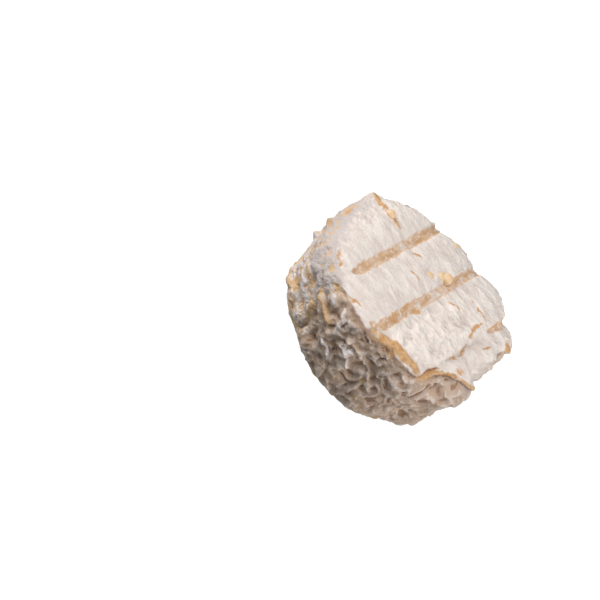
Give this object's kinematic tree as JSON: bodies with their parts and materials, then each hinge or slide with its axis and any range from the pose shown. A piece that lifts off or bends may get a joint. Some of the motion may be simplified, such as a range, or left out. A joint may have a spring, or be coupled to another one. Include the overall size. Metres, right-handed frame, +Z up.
{
  "type": "goat cheese round",
  "caption": "Small soft-ripened goat cheese, a squat drum with a wrinkled rind and pressed grooves across its upper face.",
  "frame": {"origin": "middle of the base, on the surface that the cheese stands on", "axes": "+Z up out of the grooved face, +Y along the grooves away from the picture's camera, +X across them to the sunk band"},
  "size_m": [0.0696, 0.0681, 0.0409],
  "materials": {
    "rind": "matt, floury bloom over a cream and tan wrinkled rind"
  },
  "bodies": {
    "root": {"cheese": "rind"}
  },
  "joints": []
}
